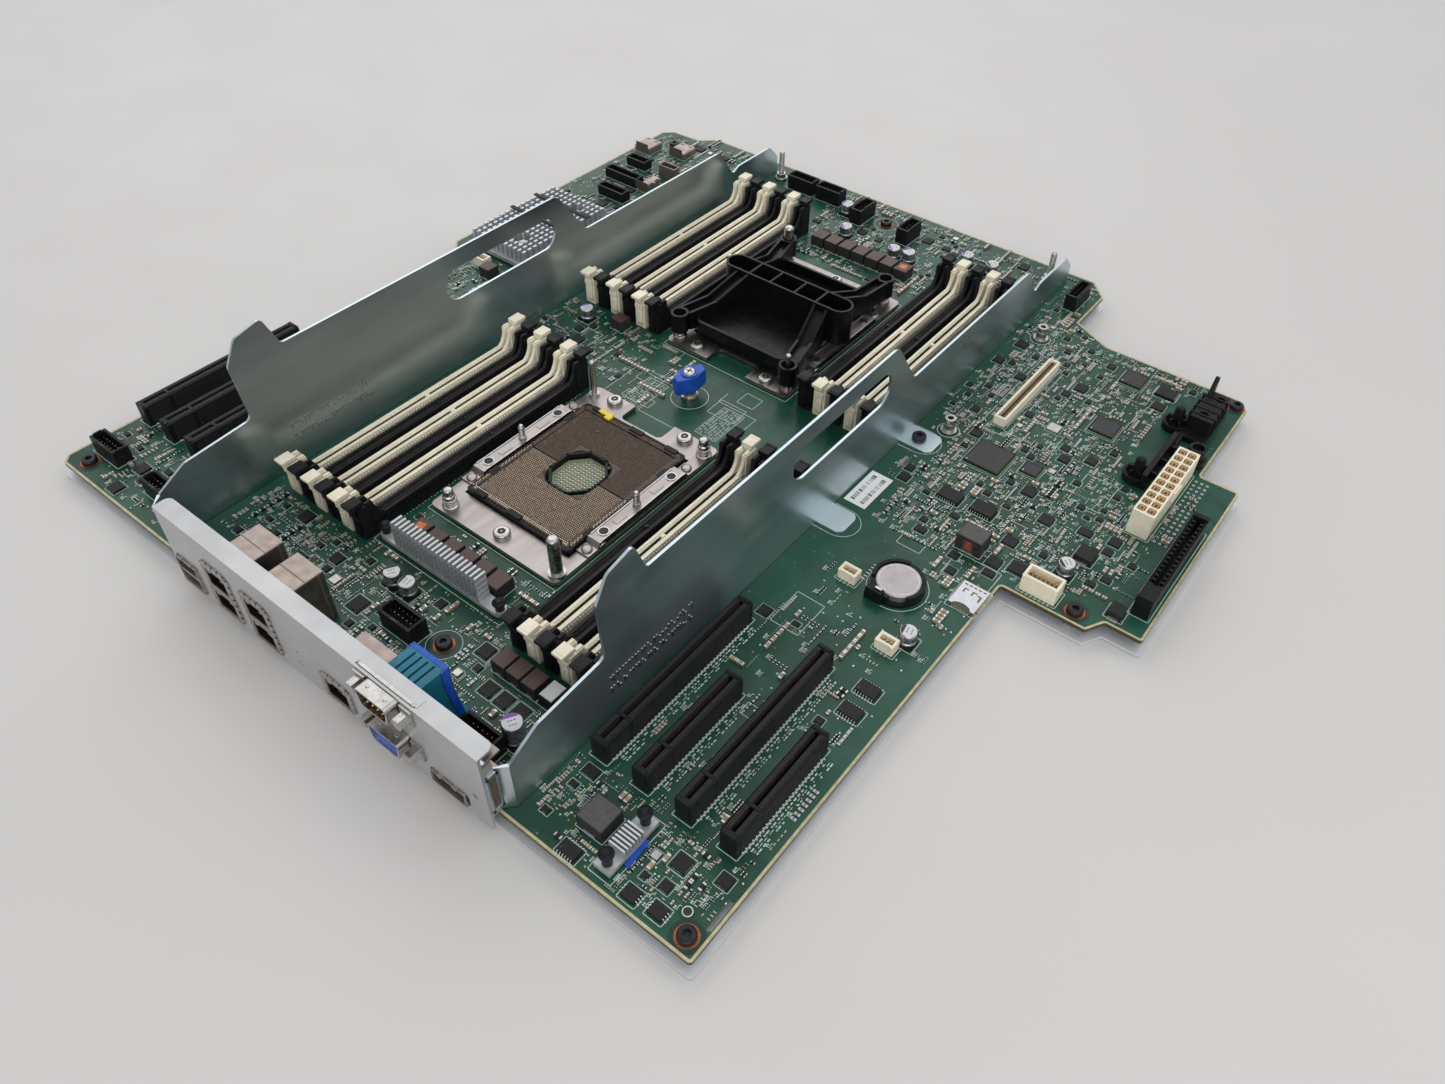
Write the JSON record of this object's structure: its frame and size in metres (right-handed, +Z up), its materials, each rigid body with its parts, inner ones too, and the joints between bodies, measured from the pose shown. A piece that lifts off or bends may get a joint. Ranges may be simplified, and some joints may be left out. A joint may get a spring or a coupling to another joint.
{
  "type": "server motherboard on tray",
  "caption": "Server board on a sheet-metal tray with guide brackets, rear ports, processor sockets, latched memory sockets and card slots.",
  "frame": {"origin": "on the underside of the tray, midway along the length of the board and midway between its left rear edge and its right edge", "axes": "+Z up from the tray, -Y towards the rear I/O panel, +X towards the expansion slots"},
  "size_m": [0.4592, 0.4739, 0.0879],
  "materials": {
    "galvanised": "zinc-plated sheet, soft mottled sheen",
    "panel_grey": "matte pale grey sheet",
    "board_green": "dark green solder mask over glass-epoxy, with pale printed lines",
    "black_steel": "black oxide screws",
    "bright_steel": "bright nickel-plated steel",
    "nickel": "satin nickel-plated sheet",
    "jack_metal": "stamped tin-plated shell",
    "teal_plastic": "moulded teal and dark blue plastic",
    "black_plastic": "black moulded plastic, faint sheen",
    "ivory_plastic": "cream nylon, satin",
    "contact_brown": "fine brown contact grid",
    "yellow_plastic": "yellow plastic",
    "aluminium": "extruded fins, satin",
    "push_pin_plastic": "moulded push pins",
    "choke_brown": "pressed ferrite blocks with a brown top",
    "can_aluminium": "aluminium cans with a printed top",
    "blue_plastic": "royal blue plastic",
    "paper_label": "white paper label with plain bars",
    "chip_black": "epoxy chip packages"
  },
  "bodies": {
    "board_assembly": {"base_tray": "galvanised", "tray_standoffs": "bright_steel", "circuit_board": "board_green", "black_screws": "black_steel", "left_guide_bracket": "galvanised", "right_guide_bracket": "galvanised", "alignment_studs": "bright_steel", "rear_io_panel": "panel_grey", "ethernet_jacks": "jack_metal", "usb_ports": "jack_metal", "serial_port": "jack_metal", "vga_port": "jack_metal", "dsub_housing": "teal_plastic", "dsub_jackscrews": "bright_steel", "bolster_plates": "nickel", "bolster_screws": "bright_steel", "bolster_studs": "bright_steel", "guide_posts": "bright_steel", "retention_arms": "nickel", "socket_frames": "black_plastic", "contact_fields": "contact_brown", "socket_key_tab": "yellow_plastic", "ivory_dimm_sockets": "ivory_plastic", "black_dimm_sockets": "black_plastic", "pcie_slots": "black_plastic", "finned_heatsinks": "aluminium", "pin_fin_heatsink": "aluminium", "push_pins": "push_pin_plastic", "chokes": "choke_brown", "capacitors": "can_aluminium", "power_connector": "ivory_plastic", "edge_connector": "black_plastic", "cable_guide": "black_plastic", "battery_holder": "black_plastic", "card_cages": "jack_metal", "ivory_headers": "ivory_plastic", "black_headers": "black_plastic", "mezzanine_standoffs": "bright_steel", "chips": "chip_black", "board_label": "paper_label", "knob_base": "bright_steel"},
    "latches_near_left_ivory_rear_row": {"latches_near_left_ivory_rear": "ivory_plastic"},
    "latches_near_left_ivory_far_row": {"latches_near_left_ivory_far": "ivory_plastic"},
    "latches_near_left_black_rear_row": {"latches_near_left_black_rear": "black_plastic"},
    "latches_near_left_black_far_row": {"latches_near_left_black_far": "black_plastic"},
    "latches_far_left_ivory_rear_row": {"latches_far_left_ivory_rear": "ivory_plastic"},
    "latches_far_left_ivory_far_row": {"latches_far_left_ivory_far": "ivory_plastic"},
    "latches_far_left_black_rear_row": {"latches_far_left_black_rear": "black_plastic"},
    "latches_far_left_black_far_row": {"latches_far_left_black_far": "black_plastic"},
    "latches_near_right_ivory_rear_row": {"latches_near_right_ivory_rear": "ivory_plastic"},
    "latches_near_right_ivory_far_row": {"latches_near_right_ivory_far": "ivory_plastic"},
    "latches_near_right_black_rear_row": {"latches_near_right_black_rear": "black_plastic"},
    "latches_near_right_black_far_row": {"latches_near_right_black_far": "black_plastic"},
    "latches_far_right_ivory_rear_row": {"latches_far_right_ivory_rear": "ivory_plastic"},
    "latches_far_right_ivory_far_row": {"latches_far_right_ivory_far": "ivory_plastic"},
    "latches_far_right_black_rear_row": {"latches_far_right_black_rear": "black_plastic"},
    "latches_far_right_black_far_row": {"latches_far_right_black_far": "black_plastic"},
    "socket_cover": {"cpu_2_cover": "black_plastic"},
    "battery": {"coin_battery": "bright_steel"},
    "wing_knob": {"blue_knob": "blue_plastic"}
  },
  "joints": [
    {"name": "latches_near_left_ivory_rear_hinge", "type": "hinge", "parent": "board_assembly", "child": "latches_near_left_ivory_rear_row", "pos_m": [-0.0966, -0.1727, 0.0125], "axis": [1, 0, 0], "range_deg": [0, 32]},
    {"name": "latches_near_left_ivory_far_hinge", "type": "hinge", "parent": "board_assembly", "child": "latches_near_left_ivory_far_row", "pos_m": [-0.0966, -0.0323, 0.0125], "axis": [-1, 0, 0], "range_deg": [0, 32]},
    {"name": "latches_near_left_black_rear_hinge", "type": "hinge", "parent": "board_assembly", "child": "latches_near_left_black_rear_row", "pos_m": [-0.0966, -0.1727, 0.0125], "axis": [1, 0, 0], "range_deg": [0, 32]},
    {"name": "latches_near_left_black_far_hinge", "type": "hinge", "parent": "board_assembly", "child": "latches_near_left_black_far_row", "pos_m": [-0.0966, -0.0323, 0.0125], "axis": [-1, 0, 0], "range_deg": [0, 32]},
    {"name": "latches_far_left_ivory_rear_hinge", "type": "hinge", "parent": "board_assembly", "child": "latches_far_left_ivory_rear_row", "pos_m": [-0.0991, 0.0277, 0.0125], "axis": [1, 0, 0], "range_deg": [0, 32]},
    {"name": "latches_far_left_ivory_far_hinge", "type": "hinge", "parent": "board_assembly", "child": "latches_far_left_ivory_far_row", "pos_m": [-0.0991, 0.1681, 0.0125], "axis": [-1, 0, 0], "range_deg": [0, 32]},
    {"name": "latches_far_left_black_rear_hinge", "type": "hinge", "parent": "board_assembly", "child": "latches_far_left_black_rear_row", "pos_m": [-0.0991, 0.0277, 0.0125], "axis": [1, 0, 0], "range_deg": [0, 32]},
    {"name": "latches_far_left_black_far_hinge", "type": "hinge", "parent": "board_assembly", "child": "latches_far_left_black_far_row", "pos_m": [-0.0991, 0.1681, 0.0125], "axis": [-1, 0, 0], "range_deg": [0, 32]},
    {"name": "latches_near_right_ivory_rear_hinge", "type": "hinge", "parent": "board_assembly", "child": "latches_near_right_ivory_rear_row", "pos_m": [0.0498, -0.1733, 0.0125], "axis": [1, 0, 0], "range_deg": [0, 32]},
    {"name": "latches_near_right_ivory_far_hinge", "type": "hinge", "parent": "board_assembly", "child": "latches_near_right_ivory_far_row", "pos_m": [0.0498, -0.0329, 0.0125], "axis": [-1, 0, 0], "range_deg": [0, 32]},
    {"name": "latches_near_right_black_rear_hinge", "type": "hinge", "parent": "board_assembly", "child": "latches_near_right_black_rear_row", "pos_m": [0.0498, -0.1733, 0.0125], "axis": [1, 0, 0], "range_deg": [0, 32]},
    {"name": "latches_near_right_black_far_hinge", "type": "hinge", "parent": "board_assembly", "child": "latches_near_right_black_far_row", "pos_m": [0.0498, -0.0329, 0.0125], "axis": [-1, 0, 0], "range_deg": [0, 32]},
    {"name": "latches_far_right_ivory_rear_hinge", "type": "hinge", "parent": "board_assembly", "child": "latches_far_right_ivory_rear_row", "pos_m": [0.0498, 0.0261, 0.0125], "axis": [1, 0, 0], "range_deg": [0, 32]},
    {"name": "latches_far_right_ivory_far_hinge", "type": "hinge", "parent": "board_assembly", "child": "latches_far_right_ivory_far_row", "pos_m": [0.0498, 0.1665, 0.0125], "axis": [-1, 0, 0], "range_deg": [0, 32]},
    {"name": "latches_far_right_black_rear_hinge", "type": "hinge", "parent": "board_assembly", "child": "latches_far_right_black_rear_row", "pos_m": [0.0498, 0.0261, 0.0125], "axis": [1, 0, 0], "range_deg": [0, 32]},
    {"name": "latches_far_right_black_far_hinge", "type": "hinge", "parent": "board_assembly", "child": "latches_far_right_black_far_row", "pos_m": [0.0498, 0.1665, 0.0125], "axis": [-1, 0, 0], "range_deg": [0, 32]},
    {"name": "socket_cover_lift", "type": "slide", "parent": "board_assembly", "child": "socket_cover", "axis": [0, 0, 1], "range_m": [0, 0.06]},
    {"name": "battery_lift", "type": "slide", "parent": "board_assembly", "child": "battery", "axis": [0, 0, 1], "range_m": [0, 0.012]},
    {"name": "wing_knob_turn", "type": "hinge", "parent": "board_assembly", "child": "wing_knob", "pos_m": [-0.0241, -0.0048, 0.02], "axis": [0, 0, 1], "range_deg": [0, 180]}
  ]
}
